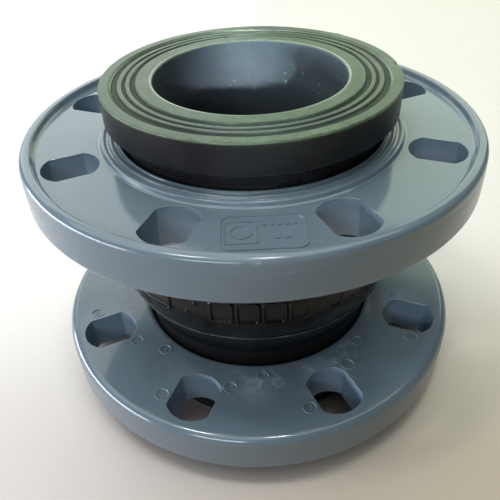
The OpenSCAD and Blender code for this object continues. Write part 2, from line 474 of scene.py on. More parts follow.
    # gloss: polished tool faces, duller side, faint handling marks
    side = t.step(t.r, 0.0990, 0.0996)
    # the side painted darker as shade, the lower flange's side more than the upper's
    colour = t.mix(t.m("MULTIPLY", side, 0.30 if up else 0.62), colour, (0.098, 0.118, 0.130))
    rough = t.m("ADD", t.span(t.noise(48, 5, 0.65, distort=0.5), 0.3, 0.7, 0.085, 0.15), t.m("MULTIPLY", side, 0.10))
    rough = t.m("ADD", rough, t.m("MULTIPLY", wear, 0.14))
    rough = t.m("ADD", rough, t.m("MULTIPLY", smear, 0.16))
    rough = t.m("ADD", rough, t.m("MULTIPLY", wall, 0.22))
    scratch = t.noise(1.0, 2, 0.4, vector=t.xyz(t.m("MULTIPLY", t.x, 90), t.m("MULTIPLY", t.y, 1100), t.m("MULTIPLY", t.z, 300)))
    scratch2 = t.noise(1.0, 2, 0.4, vector=t.xyz(t.m("MULTIPLY", t.x, 1000), t.m("MULTIPLY", t.y, 80), t.m("MULTIPLY", t.z, 300)))
    lines = t.m("MAXIMUM", t.step(scratch, 0.76, 0.81), t.step(scratch2, 0.77, 0.82))
    rough = t.m("ADD", rough, t.m("MULTIPLY", lines, 0.08), clamp=True)
    # surface: slow waviness of the moulded skin, fine grain, scratches, shallow drag lines round the side
    drag = t.m("MULTIPLY", t.noise(1.0, 3, 0.6, vector=t.xyz(t.m("MULTIPLY", t.angle(), 2.4), t.m("MULTIPLY", t.z, 900), 0.0)), side)
    wave = t.bump(t.noise(55, 2, 0.4), 0.00012, 0.30)
    wave = t.bump(drag, 0.00003, 0.5, wave)
    grain = t.bump(t.noise(1500, 3, 0.6), 0.00001, 0.35, wave)
    fine = t.bump(t.m("MULTIPLY", lines, -1.0), 0.00001, 0.4, grain)
    return t.set(Base_Color=colour, Roughness=rough, Normal=fine, IOR=1.54)


def rubber(name, face=False, bore=False):
    """Moulded black rubber. The bore is a dusty blue grey, the sealing faces have bloomed to a greenish grey."""
    t = Tree(name)
    clouds = t.noise(30, 4, 0.6, distort=0.6)
    grey = t.mix(t.step(clouds, 0.3, 0.7), (0.064, 0.081, 0.095), (0.080, 0.100, 0.116))
    black = t.mix(t.step(clouds, 0.3, 0.7), (0.0036, 0.0036, 0.0040), (0.0062, 0.0062, 0.0066))
    inside = t.m("MULTIPLY", t.step(t.r, 0.0425, 0.0415), 1.0)
    if bore:
        colour = grey
    elif face:
        colour = t.mix(inside, black, grey)
    else:
        colour = black
    fine = t.noise(420, 4, 0.65)
    colour = t.mix(t.m("MULTIPLY", t.step(fine, 0.5, 0.75), 0.05), colour, (0.05, 0.056, 0.055))
    dust = t.m("MULTIPLY", t.step(t.cells(760), 0.13, 0.05), t.step(t.noise(85, 3), 0.55, 0.68))
    colour = t.mix(t.m("MULTIPLY", dust, 0.10), colour, (0.26, 0.27, 0.26))
    if bore or face:
        # pale crumbs stuck high on the bore wall
        crumbs = t.m("MULTIPLY", t.step(t.cells(330), 0.30, 0.12), t.step(t.noise(46, 3, vector=t.vec("ADD", t.pos, (0.2, 0.6, 0.0))), 0.53, 0.64))
        high = t.m("MULTIPLY", t.step(t.z, 0.118, 0.130), t.step(t.r, 0.0435, 0.0425))
        colour = t.mix(t.m("MULTIPLY", t.m("MULTIPLY", crumbs, high), 0.55), colour, (0.34, 0.38, 0.42))
    base_rough = t.noise(60, 5, 0.65)
    if bore:
        rough = t.span(base_rough, 0.3, 0.7, 0.42, 0.56)
    else:
        rough = t.span(base_rough, 0.3, 0.7, 0.30, 0.42) if face else t.span(base_rough, 0.3, 0.7, 0.20, 0.30)
    normal = t.bump(t.noise(90, 3, 0.5), 0.0002, 0.30)
    normal = t.bump(t.noise(1100, 4, 0.65), 0.00003, 0.5, normal)
    if not bore and not face:
        # a painted highlight along the mould's parting ridges, which are also a little glossier
        seam_highlight = t.m("MAXIMUM", t.near(t.z, (MID - 17.7) * MM, 0.00055), t.near(t.z, (MID + 17.7) * MM, 0.00055))
        seam_highlight = t.m("MULTIPLY", t.m("MULTIPLY", seam_highlight, t.step(t.r, 0.0640, 0.0645)), t.span(t.noise(190, 4, 0.65), 0.3, 0.7, 0.25, 1.0))
        colour = t.mix(t.m("MULTIPLY", seam_highlight, 0.7, clamp=True), colour, (0.26, 0.28, 0.285))
        rough = t.m("SUBTRACT", rough, t.m("MULTIPLY", seam_highlight, 0.08), clamp=True)
    level = 0.5
    if face:
        h = t.m("MINIMUM", t.m("ABSOLUTE", t.z), t.m("ABSOLUTE", t.m("SUBTRACT", t.z, FACE * MM)))      # depth below the nearer sealing face
        on_face = t.m("MULTIPLY", t.step(h, 0.0014, 0.0002), t.step(t.r, 0.0410, 0.0417))
        land = t.m("MULTIPLY", t.step(h, 0.00065, 0.00030), t.step(t.r, 0.0410, 0.0417))
        mottled = t.noise(240, 5, 0.7)
        bloom = t.mix(t.step(mottled, 0.32, 0.68), (0.030, 0.054, 0.028), (0.068, 0.106, 0.060))
        colour = t.mix(t.m("MULTIPLY", on_face, 0.36), colour, (0.034, 0.058, 0.034))
        outer = t.m("MULTIPLY", on_face, t.step(t.r, 0.0556, 0.0562))
        colour = t.mix(t.m("MULTIPLY", outer, 0.75), colour, bloom)
        colour = t.mix(t.m("MULTIPLY", land, 0.85), colour, bloom)
        ring = t.noise(1.0, 2, 0.5, vector=t.xyz(t.m("MULTIPLY", t.r, 2600), t.m("MULTIPLY", t.angle(), 1.5), 0.0))
        rub = t.m("MULTIPLY", land, t.step(ring, 0.50, 0.66))
        colour = t.mix(t.m("MULTIPLY", rub, 0.35), colour, (0.14, 0.185, 0.14))
        grit = t.m("MULTIPLY", land, t.step(t.cells(1500), 0.20, 0.08))
        colour = t.mix(t.m("MULTIPLY", grit, 0.40), colour, (0.24, 0.29, 0.23))
        patches = t.noise(34, 3, 0.55, vector=t.vec("ADD", t.pos, (0.9, 0.3, 0.1)))
        colour = t.mix(t.m("MULTIPLY", t.m("MULTIPLY", land, t.step(patches, 0.48, 0.66)), 0.40), colour, (0.024, 0.040, 0.024))
        # a painted highlight along the rounded edge of the mouth
        lip = t.m("MULTIPLY", t.near(t.r, 0.0419, 0.0008), t.step(h, 0.0011, 0.0003))
        colour = t.mix(t.m("MULTIPLY", lip, 0.75), colour, (0.20, 0.28, 0.18))
        # painted highlights on the edges of the mouth and of the ridges, which are also glossier; dull groove floors
        # and side
        edge_glint = t.m("MAXIMUM", lip, t.m("MULTIPLY", t.near(h, 0.00058, 0.00030), on_face))
        colour = t.mix(t.m("MULTIPLY", t.m("SUBTRACT", edge_glint, lip, clamp=True), 0.55), colour, (0.14, 0.20, 0.13))
        groove = t.m("MULTIPLY", t.step(h, 0.00070, 0.00095), t.m("MULTIPLY", t.step(t.r, 0.0480, 0.0484), t.step(t.r, 0.0585, 0.0580)))
        colour = t.mix(t.m("MULTIPLY", groove, t.span(mottled, 0.3, 0.7, 0.25, 0.60)), colour, (0.060, 0.088, 0.060))
        # the ridges are darker over the part of the way round nearest the front
        front = t.m("DIVIDE", t.m("SUBTRACT", t.m("MULTIPLY", t.x, 0.383), t.m("MULTIPLY", t.y, 0.924)), t.m("MAXIMUM", t.r, 0.001))
        front = t.m("ADD", front, t.span(t.noise(60, 4, 0.6), 0.3, 0.7, -0.10, 0.10))
        front_ridges_darker = t.m("MULTIPLY", t.step(front, 0.62, 0.93), t.m("MULTIPLY", t.step(t.r, 0.0478, 0.0484), t.step(t.r, 0.0584, 0.0572)))
        front_ridges_darker = t.m("MULTIPLY", front_ridges_darker, t.span(t.noise(1.0, 3, 0.6, vector=t.xyz(t.m("MULTIPLY", t.r, 1500), t.m("MULTIPLY", t.angle(), 4), 3.0)), 0.3, 0.7, 0.55, 1.0))
        colour = t.mix(t.m("MULTIPLY", front_ridges_darker, 0.80), colour, (0.020, 0.029, 0.031))
        rough = t.m("ADD", rough, t.m("MULTIPLY", land, t.span(mottled, 0.3, 0.7, -0.06, 0.06)))
        rough = t.m("ADD", rough, t.m("MULTIPLY", groove, 0.25))
        rough = t.m("SUBTRACT", rough, t.m("MULTIPLY", edge_glint, 0.18), clamp=True)
        level = t.m("ADD", t.m("ADD", 0.22, t.m("MULTIPLY", land, 0.06)), t.m("MULTIPLY", edge_glint, 0.55))
        level = t.m("MULTIPLY", level, t.m("SUBTRACT", 1.0, t.m("MULTIPLY", groove, 0.4)))
        normal = t.bump(t.m("MULTIPLY", on_face, ring), 0.00004, 0.4, normal)
        normal = t.bump(t.m("MULTIPLY", land, mottled), 0.00005, 0.5, normal)
    return t.set(Base_Color=colour, Roughness=rough, Normal=normal, IOR=1.50 if face else 1.30, Specular_IOR_Level=level)


def cord_fabric(name, carried=False):
    """Rubber-dipped nylon cord: cords side by side on the bias, with the dip dried unevenly between them."""
    t = Tree(name, carried)
    a = t.m("MULTIPLY", t.angle(), 57.0)
    z = t.m("MULTIPLY", t.z, 1000.0)
    one = t.m("SINE", t.m("MULTIPLY", t.m("ADD", a, z), 4.6))
    two = t.m("SINE", t.m("MULTIPLY", t.m("SUBTRACT", a, z), 4.6))
    weave = t.m("MAXIMUM", one, two)
    colour = t.mix(t.step(weave, -0.2, 0.9), (0.13, 0.105, 0.07), (0.46, 0.41, 0.30))
    colour = t.mix(t.m("MULTIPLY", t.step(t.noise(120, 4), 0.5, 0.7), 0.4), colour, (0.08, 0.07, 0.055))
    normal = t.bump(weave, 0.0002, 0.8)
    normal = t.bump(t.noise(2500, 3), 0.00005, 0.5, normal)
    return t.set(Base_Color=colour, Roughness=t.span(t.noise(300, 3), 0.3, 0.7, 0.62, 0.82), Normal=normal, IOR=1.5, Sheen_Weight=0.15)


def bead_wire_steel(name):
    t = Tree(name, carried=True)
    drawn = t.noise(1.0, 3, 0.5, vector=t.xyz(t.m("MULTIPLY", t.r, 9000), t.m("MULTIPLY", t.angle(), 3.0), t.m("MULTIPLY", t.z, 9000)))
    colour = t.mix(t.step(drawn, 0.3, 0.7), (0.42, 0.33, 0.20), (0.62, 0.52, 0.34))
    colour = t.mix(t.m("MULTIPLY", t.step(t.noise(180, 4), 0.56, 0.7), 0.5), colour, (0.20, 0.15, 0.10))
    return t.set(Base_Color=colour, Metallic=1.0, Roughness=t.span(drawn, 0.3, 0.7, 0.24, 0.42), Normal=t.bump(drawn, 0.00002, 0.6))


def floor_paint(name):
    t = Tree(name, carried=True)
    across = t.m("ADD", t.m("MULTIPLY", t.x, 0.924), t.m("MULTIPLY", t.y, 0.383))
    along = t.m("SUBTRACT", t.m("MULTIPLY", t.y, 0.924), t.m("MULTIPLY", t.x, 0.383))
    # the floor painted darker and warmer near the object and on the right of the view, and paler far behind it, as
    # painted shade and warm light
    near_side = t.mix(t.step(across, -0.12, 0.10), (0.480, 0.430, 0.420), (0.365, 0.305, 0.215))
    near_side = t.mix(t.step(across, 0.10, 0.22), near_side, (0.500, 0.430, 0.305))
    far_side = t.mix(t.step(across, -0.12, 0.30), (0.70, 0.67, 0.66), (0.67, 0.64, 0.60))
    colour = t.mix(t.step(along, -0.14, 0.10), near_side, far_side)
    colour = t.mix(t.m("MULTIPLY", t.step(t.noise(3.0, 3), 0.3, 0.7), 0.15), colour, (0.60, 0.56, 0.54))
    # painted shadow on the floor under the lower flange
    colour = t.mix(t.m("MULTIPLY", t.step(t.r, 0.103, 0.082), 0.80), colour, (0.060, 0.040, 0.034))
    colour = t.mix(t.m("MULTIPLY", t.step(t.noise(420, 4, 0.7), 0.45, 0.7), 0.10), colour, (0.42, 0.39, 0.37))
    rough = t.span(t.noise(24, 4), 0.3, 0.7, 0.42, 0.55)
    return t.set(Base_Color=colour, Roughness=rough, Normal=t.bump(t.noise(900, 4, 0.6), 0.00004, 0.5), IOR=1.45)


MAT_COVER = rubber("cover_rubber")
MAT_BEAD = rubber("bead_rubber", face=True)
MAT_TUBE = rubber("tube_rubber", bore=True)
MAT_PLY = cord_fabric("ply_fabric")
MAT_WRAP = cord_fabric("wrap_fabric", carried=True)
MAT_WIRE = bead_wire_steel("bead_wire")
MAT_LOWER = plastic("flange_pvc_lower", LOWER_BACK, up=False)
MAT_UPPER = plastic("flange_pvc_upper", UPPER_BACK, up=True)


# ---------------------------------------------------------------- loose flanges
def flange_profile():
    R, T, b, c = FLANGE_R, FLANGE_T, FLANGE_BORE, COLLAR
    zf, zc = T - FACE_DEPTH, T - 0.8
    pts = [(b, T - 2.4), (b, 2.5)]
    pts += arc(b + 2.5, 2.5, 2.5, 180, 270, 6)[1:]
    pts += arc(R - 4, 4, 4, 270, 360, 10)
    # the two halves of the mould meet in a faint ridge
    pts += [(R, T - 7.6), (R - 0.05, T - 6.3), (R - 0.08, T - 5.80), (R - 0.045, T - 5.68), (R - 0.045, T - 5.60), (R - 0.11, T - 5.46), (R - 0.15, T - 4.4)]
    pts += arc(R - 2.75, T - 2.6, 2.6, 0, 90, 9)
    step = rounded([(97.25, T, 0), (95.95, T, 0.4), (95.25, T - 0.35, 0.5), (94.4, T - 2.3, 0.5), (93.5, zf, 0.5), (92.0, zf, 0)], 0.5, 5, closed=False)
    pts += step[1:-1]
    collar = [(c + 1.5, zf, 0), (c + 0.1, zf, 0.5), (c - 0.8, zf + 0.4, 0.3), (c - 1.35, zc, 0.62), (c - 2.65, zc, 0.62),
              (c - 3.3, zc - 1.1, 0.5), (c - 4.4, zc - 1.1, 0.5), (c - 4.9, zc, 0.5), (c - 5.9, zc, 0.5),
              (c - 6.5, zc - 1.1, 0.5), (c - 7.55, zc - 1.1, 0.5), (c - 8.05, zc, 0.4), (c - 8.85, zc, 0.4), (b, T - 2.4, 0)]
    pts += rounded(collar, 0.3, 6, closed=False)[1:-1]
    out = []
    for p in pts:
        if not out or math.dist(out[-1], p) > 1e-4:
            out.append(p)
    return out


def slot_cutters():
    """Eight drafted slots, each flaring out at both faces so that the edges come out finely rounded."""
    e, depth = 0.28, FLANGE_T - FACE_DEPTH
    levels = [(-3.0, 0.0, e + 0.04), (-0.02, 0.0, e + 0.04)]
    levels += [(e - e * math.cos(math.radians(a)), 0.0, e - e * math.sin(math.radians(a))) for a in (20, 40, 60, 90)]
    levels += [(depth - e + e * math.cos(math.radians(a)), 1.0, e - e * math.sin(math.radians(a))) for a in (90, 60, 40, 20)]
    levels += [(depth + 0.02, 1.0, e + 0.04), (depth + 3.0, 1.0, e + 0.04)]
    shells = []
    for k in range(8):
        rings = []
        for z, t, off in levels:
            middle, width, length = [b0 + (f0 - b0) * t for b0, f0 in zip(SLOT_BACK, SLOT_FACE)]
            rings.append([(x, y, z) for x, y in slot_outline(middle, width, length, off, k * math.pi / 4)])
        shells.append(loft(rings))
    return shells


def rounded_rect(x0, y0, x1, y1, r, n=6):
    pts = []
    for cx, cy, a in ((x1 - r, y1 - r, 0), (x0 + r, y1 - r, 90), (x0 + r, y0 + r, 180), (x1 - r, y0 + r, 270)):
        pts += arc(cx, cy, r, a, a + 90, n)
    return pts


def label_ridges(z):
    """A blank moulded label panel on the recessed face, with plain marks and no lettering, centred at -67.5 degrees."""
    ang = math.radians(-67.5)
    # in panel axes x runs tangentially and y outward, then all is turned so that y points along ang
    place = lambda pts: turn([(y0, x0) for x0, y0 in pts], ang)
    shells = []
    outline = rounded_rect(-13.5, 72.0, 15.5, 90.6, 3.4, 8)
    shells.append(ridge(divide(place(outline), 1.5), z - 0.4, z + 0.42, 1.05, 0.42))
    box = rounded_rect(-12.0, 75.2, -1.2, 87.4, 0.7, 3)
    shells.append(ridge(divide(place(box), 1.5), z - 0.4, z + 0.38, 0.90, 0.36))
    ring = [(-6.6 + 3.5 * math.cos(a), 81.3 + 3.5 * math.sin(a)) for a in np.linspace(0, TAU, 37)[:-1]]
    shells.append(ridge(place(ring), z - 0.4, z + 0.36, 0.85, 0.36))
    for i in range(5):
        pip = rounded_rect(0.9 + 2.6 * i, 75.8, 2.4 + 2.6 * i, 77.6, 0.45, 3)
        shells.append(loft([[(x, y, z - 0.4) for x, y in place(pip)], [(x, y, z + 0.34) for x, y in place(pip)]]))
    for i in range(2):
        pip = rounded_rect(4.4 + 3.2 * i, 82.6, 6.6 + 3.2 * i, 85.2, 0.6, 3)
        shells.append(loft([[(x, y, z - 0.4) for x, y in place(pip)], [(x, y, z + 0.34) for x, y in place(pip)]]))
    return shells


def circle(cx, cy, r, z, n=36):
    return [(cx + r * math.cos(b), cy + r * math.sin(b), z) for b in np.linspace(0, TAU, n + 1)[:-1]]


def pin_places():
    for k in range(8):
        for r, off, rad in PINS:
            a = math.radians(45 * k + off)
            yield k, r * math.cos(a), r * math.sin(a), rad, hash01(k * 7.3 + r)


def pin_cutters():
    """Shallow round marks left on the plain back by the mould's ejector pins."""
    shells = []
    for k, cx, cy, rad, chance in pin_places():
        dep = 0.16 + 0.16 * chance
        rings = [circle(cx, cy, rr, z) for z, rr in ((-1.5, rad + 0.10), (-0.02, rad + 0.10), (0.05, rad + 0.03), (dep - 0.04, rad - 0.03), (dep, rad - 0.12))]
        shells.append(loft(rings))
    return shells


def pin_rings():
    """The thin lip of plastic squeezed up round each pin mark, and a smaller one from the pin's centre."""
    shells = []
    for k, cx, cy, rad, chance in pin_places():
        for rr, high, low in ((rad + 0.42, -0.17 - 0.10 * chance, 0.5), (rad * 0.42, 0.02, 0.6)):
            path = [(x, y) for x, y, z in circle(cx, cy, rr, 0, 32)]
            shells.append(ridge(path, low, high, 0.62, 0.22))
    return shells


def make_flange(name, up, label):
    v, f = lathe(flange_profile(), 384)
    o = temp_object(name, [(v, f)])
    carve(o, "DIFFERENCE", temp_object("cutters", slot_cutters()))
    carve(o, "DIFFERENCE", temp_object("pins", pin_cutters()))
    carve(o, "UNION", temp_object("lips", pin_rings()))
    if label:
        for shell in label_ridges(FLANGE_T - FACE_DEPTH):
            carve(o, "UNION", temp_object("mark", [shell]))
    if up:
        o.data.transform(Matrix.Translation((0, 0, UPPER_BACK)))
    else:
        o.data.transform(Matrix.Diagonal((1, -1, -1, 1)))
        o.data.transform(Matrix.Translation((0, 0, LOWER_BACK)))
    to_metres(o)
    keep_rest(o.data)
    smooth_by_angle(o, 38)
    o.data.materials.clear()
    o.data.materials.append(MAT_UPPER if up else MAT_LOWER)
    return o


upper = make_flange("upper_flange_moulding", True, True)
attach(upper, "upper_ring")
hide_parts("upper_flange")
lower = make_flange("lower_flange_moulding", False, True)
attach(lower, "lower_ring")
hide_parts("lower_flange")


# ---------------------------------------------------------------- rubber beads
def bead_profile():
    """Sealing face up at z = 0, back at -BEAD_T."""
    g = 1.1
    pts = [(BORE_R, -BEAD_T - 0.09, 0), (BORE_R, -1.1, 0)]
    pts += [(x, y, 0) for x, y in arc(BORE_R + 1.1, -1.1, 1.1, 180, 90, 8)[1:]]
    pts += [(47.9, 0, 0.35), (48.6, -g, 0.3), (50.0, -g, 0.3), (50.5, -0.3, 0.3), (52.0, -0.3, 0.3), (52.5, -g, 0.25), (53.3, -g, 0.25),
            (53.8, -0.3, 0.3), (55.4, -0.3, 0.3), (55.9, -g, 0.3), (57.7, -g, 0.4), (59.1, 0, 0.5)]
    pts += [(x, y, 0) for x, y in arc(BEAD_R - 0.5, -0.5, 0.5, 90, 0, 5)]
    pts += [(x, y, 0) for x, y in arc(BEAD_R - 1.0, -BEAD_T + 1.0, 1.0, 0, -90, 6)]
    pts += [(BORE_R + 2.2, -BEAD_T, 0), (BORE_R + 2.0, -BEAD_T - 0.09, 0)]
    return divide(rounded(pts, 0.3, 4), 1.2)


def make_bead(name, up, seed):
    v, f = lathe(bead_profile(), 420)
    v = v.copy()
    r, a = np.hypot(v[:, 0], v[:, 1]), np.arctan2(v[:, 1], v[:, 0])
    top = np.clip(1 - np.abs(v[:, 2]) / 1.3, 0, 1)

    def waves(k):
        rng = np.random.default_rng(seed + k)
        out = np.zeros(len(a))
        for n, amp in ((2, 0.5), (3, 0.4), (5, 0.35), (9, 0.25), (17, 0.2), (31, 0.16), (53, 0.12)):
            out += amp * np.sin(n * a + rng.uniform(0, TAU))
        return out

    # a moulded edge is never a true circle: ridges wander and lean a little
    dr = 0.05 * waves(1) * top + 0.03 * waves(2) * np.sin(r * 1.9)
    dz = 0.035 * waves(3) * top * np.cos(r * 0.9 + 1.0)
    # trimmed flash: a nick and a small tab on the outer edge
    def bump_at(deg, width):
        d = (np.degrees(a) - deg + 180) % 360 - 180
        return np.exp(-(d / width) ** 2)
    edge = np.clip((r - 61.6) / 1.5, 0, 1) * np.clip(1 - np.abs(v[:, 2]) / 2.2, 0, 1)
    for deg, width, out_r, out_z in NICKS[0 if up else 1]:
        dr += out_r * bump_at(deg, width) * edge
        dz += out_z * bump_at(deg, width) * edge
    v[:, 0] += dr * np.cos(a)
    v[:, 1] += dr * np.sin(a)
    v[:, 2] += np.minimum(dz, -v[:, 2] * 0.9 + 0.0) * (v[:, 2] > -3)
    ch = [(WIRE_RING + (WRAP_R + 0.05) * math.cos(b), -BEAD_T + WIRE_Z + (WRAP_R + 0.05) * math.sin(b)) for b in np.linspace(0, TAU, 33)[:-1]]
    channel = lathe(ch, 192, inward=True)
    vv, ff = merge((v, f), channel)
    me = new_mesh(name, vv, ff)
    if up:
        me.transform(Matrix.Translation((0, 0, FACE)))
    else:
        me.transform(Matrix.Diagonal((1, -1, -1, 1)))
    o = new_object(name, me)
    to_metres(o)
    keep_rest(o.data)
    smooth_by_angle(o, 50, weighted=False)
    o.data.materials.append(MAT_BEAD)
    return o


# (azimuth, width in degrees, outward mm, upward mm)
NICKS = ([(24.5, 1.3, -1.1, -0.9), (21.0, 1.1, 0.45, -0.1), (68.0, 1.1, 0.5, 0.25), (9.0, 0.7, -0.2, -0.1), (-150.0, 1.2, -0.25, -0.1), (200.0, 0.8, 0.2, 0.0)],
         [(35.0, 1.4, -0.5, -0.3), (250.0, 0.8, 0.25, 0.0)])

for name, up, body, node, seed in (("upper_bead_moulding", True, "upper_end", "upper_bead", 11), ("lower_bead_moulding", False, "lower_end", "lower_bead", 47)):
    bead = make_bead(name, up, seed)
    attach(bead, body)
    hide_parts(node)


# ---------------------------------------------------------------- rubber wall, in rings that hand over from body to body
CROWN_R, CROWN_H, FLANK_H, NECK_H, FLARE_H = 40.0, 17.7, 32.0, 37.5, 56.0
CROWN_END = ARCH_R - (CROWN_R - math.sqrt(CROWN_R ** 2 - CROWN_H ** 2))
SLOPE = (CROWN_END - NECK_R) / ((FLANK_H - CROWN_H) + (NECK_H - FLANK_H) / 2)
TUBE, PLY, GAP = 0.36, 0.10, 0.1


def outer_r(z):
    h = np.abs(np.asarray(z, float) - MID)
    crown = ARCH_R - (CROWN_R - np.sqrt(np.maximum(CROWN_R ** 2 - h * h, 0)))
    flank = CROWN_END - SLOPE * (h - CROWN_H)
    fillet = NECK_R + SLOPE * (NECK_H - h) ** 2 / (2 * (NECK_H - FLANK_H))
    return np.where(h < CROWN_H, crown, np.where(h < FLANK_H, flank, np.where(h < NECK_H, fillet, NECK_R)))


def inner_r(z):
    t = np.clip(np.abs(np.asarray(z, float) - MID) / FLARE_H, 0, 1)
    return ARCH_BORE_R - (ARCH_BORE_R - BORE_R) * t * t * (3 - 2 * t)


def wall_r(z, s):
    return inner_r(z) + s * (outer_r(z) - inner_r(z))


def bell(d, w):
    return np.exp(-(d / w) ** 2)


def line(dist, half, soft):
    """1 inside a line of that half width, falling to 0 over soft."""
    t = np.clip((np.abs(dist) - half) / soft, 0, 1)
    return 1 - t * t * (3 - 2 * t)


def box_distance(x, y, hx, hy, r):
    qx, qy = np.abs(x) - hx + r, np.abs(y) - hy + r
    return np.hypot(np.maximum(qx, 0), np.maximum(qy, 0)) + np.minimum(np.maximum(qx, qy), 0) - r


def relief(ang_deg, z):
    """Height of what is moulded on the outside of the wall, in millimetres."""
    a = np.asarray(ang_deg, float)
    h = np.zeros(np.broadcast(a, z).shape)
    # mould parting ridges where the crown meets each flank
    for zp in (MID - CROWN_H, MID + CROWN_H):
        h = h + 0.62 * line(z - zp, 0.20, 0.26) * (1 + 0.12 * np.sin(np.radians(a) * 7 + 1) + 0.08 * np.sin(np.radians(a) * 19))
    # blank raised plates on the lower half of the crown, with no lettering
    d0 = ((a + 67.5 + 180) % 360 - 180)
    x = np.radians(d0) * 66.6
    for cx, hx, cz, hz in PLATES:
        d = box_distance(x - cx, z - cz, hx, hz, 1.4)
        h = h + 0.9 * line(d, 0.55, 0.28)
    for cx, cz, rad in PIPS:
        d = np.hypot(x - cx, z - cz)
        h = h + 0.75 * line(d, rad, 0.30)
    return h


# (middle along the round, half width, middle height, half height), millimetres
PLATES = [(-16.2, 4.3, 75.6, 5.4), (-5.6, 4.3, 75.6, 5.4), (5.0, 4.3, 75.6, 5.4), (15.6, 4.3, 75.6, 5.4),
          (31.4, 3.2, 75.6, 4.4), (-52.0, 12.5, 75.0, 5.2)]
PIPS = [(40.5, 71.6, 0.8), (44.0, 77.4, 0.8), (49.0, 73.0, 0.8), (53.5, 78.2, 0.7), (-31.0, 72.4, 0.7), (-27.0, 78.0, 0.7)]


def column_angles():
    """Close together where something is moulded on the wall, wider apart elsewhere."""
    fine = np.arange(-67.5 - 57, -67.5 + 50, 0.28)
    coarse = np.linspace(fine[-1] + 0.28, fine[0] + 360, 240)[:-1]
    return np.concatenate([fine, coarse])


def rows(z0, z1, step_here):
    z = [z0]
    while z[-1] < z1 - 1e-6:
        z.append(min(z[-1] + step_here(z[-1]), z1))
    if len(z) > 2 and z[-1] - z[-2] < 0.2:
        z.pop(-2)
    return np.array(z)


def cover_step(z):
    if min(abs(z - (MID - CROWN_H)), abs(z - (MID + CROWN_H))) < 0.62:
        return 0.075
    if min(abs(z - (MID - CROWN_H)), abs(z - (MID + CROWN_H))) < 1.6:
        return 0.3
    if 69.0 < z < 82.0:
        return 0.28
    return 0.9


def grid_points(ang, z, radius):
    a = np.radians(ang)[:, None]
    return np.stack([radius * np.cos(a), radius * np.sin(a), np.broadcast_to(z[None, :], radius.shape)], -1)


def grid_normals(p, outward):
    """Normals of a grid that closes round its first index."""
    du = np.roll(p, -1, 0) - np.roll(p, 1, 0)
    dv = np.empty_like(p)
    dv[:, 1:-1] = p[:, 2:] - p[:, :-2]
    dv[:, 0], dv[:, -1] = p[:, 1] - p[:, 0], p[:, -1] - p[:, -2]
    n = np.cross(du, dv)
    n /= np.linalg.norm(n, axis=-1, keepdims=True)
    return n * outward


def wall_layer(prefix, node, mat, s0, s1, g0, g1, ang, step_in, step_out, raised=False):
    """The layer between two shares of the wall's thickness, as one closed ring per stretch of the chain."""
    cuts = list(CUTS)
    z_out = np.unique(np.round(np.concatenate([rows(a, b, step_out) for a, b in zip(cuts[:-1], cuts[1:])]), 6))
    z_in = np.unique(np.round(np.concatenate([rows(a, b, step_in) for a, b in zip(cuts[:-1], cuts[1:])]), 6))
    ro = np.broadcast_to(wall_r(z_out, s1) - g1, (len(ang), len(z_out))).copy()
    if raised:
        ro += relief(ang[:, None], z_out[None, :])
    ri = np.broadcast_to(wall_r(z_in, s0) + g0, (len(ang), len(z_in)))
    po, pi = grid_points(ang, z_out, ro), grid_points(ang, z_in, ri)
    no, ni = grid_normals(po, 1), grid_normals(pi, -1)
    made = []
    for k, (a, b) in enumerate(zip(cuts[:-1], cuts[1:])):
        io = [int(np.argmin(np.abs(z_out - a))), int(np.argmin(np.abs(z_out - b)))]
        ii = [int(np.argmin(np.abs(z_in - a))), int(np.argmin(np.abs(z_in - b)))]
        P, Q = po[:, io[0]:io[1] + 1], pi[:, ii[0]:ii[1] + 1]
        NP, NQ = no[:, io[0]:io[1] + 1], ni[:, ii[0]:ii[1] + 1]
        A, m, n = len(ang), P.shape[1], Q.shape[1]
        verts = np.concatenate([P.reshape(-1, 3), Q.reshape(-1, 3)]) * MM
        base = A * m
        i = np.arange(A)
        i2 = (i + 1) % A
        quads, normals = [], []
        for j in range(m - 1):
            quads.append(np.stack([i * m + j, i2 * m + j, i2 * m + j + 1, i * m + j + 1], -1))
            normals.append(np.stack([NP[i, j], NP[i2, j], NP[i2, j + 1], NP[i, j + 1]], 1))
        for j in range(n - 1):
            quads.append(np.stack([base + i * n + j, base + i * n + j + 1, base + i2 * n + j + 1, base + i2 * n + j], -1))
            normals.append(np.stack([NQ[i, j], NQ[i, j + 1], NQ[i2, j + 1], NQ[i2, j]], 1))
        down, upw = np.array([0, 0, -1.0]), np.array([0, 0, 1.0])
        quads.append(np.stack([i * m, base + i * n, base + i2 * n, i2 * m], -1))
        normals.append(np.broadcast_to(down, (A, 4, 3)))
        quads.append(np.stack([i * m + m - 1, i2 * m + m - 1, base + i2 * n + n - 1, base + i * n + n - 1], -1))
        normals.append(np.broadcast_to(upw, (A, 4, 3)))
        quads, normals = np.concatenate(quads), np.concatenate(normals).reshape(-1, 3)
        me = bpy.data.meshes.new(f"{prefix}_{k + 1}")
        me.from_pydata(verts.tolist(), [], quads.tolist())
        me.update()
        me.shade_smooth()
        me.normals_split_custom_set(normals.tolist())
        o = new_object(me.name, me)
        keep_rest(me)
        me.materials.append(mat)
        if k == 0:
            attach(o, "lower_end")
        elif k == len(cuts) - 2:
            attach(o, "upper_end")
        else:
            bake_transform(o)
        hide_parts(node)
        made.append(o)
    return made


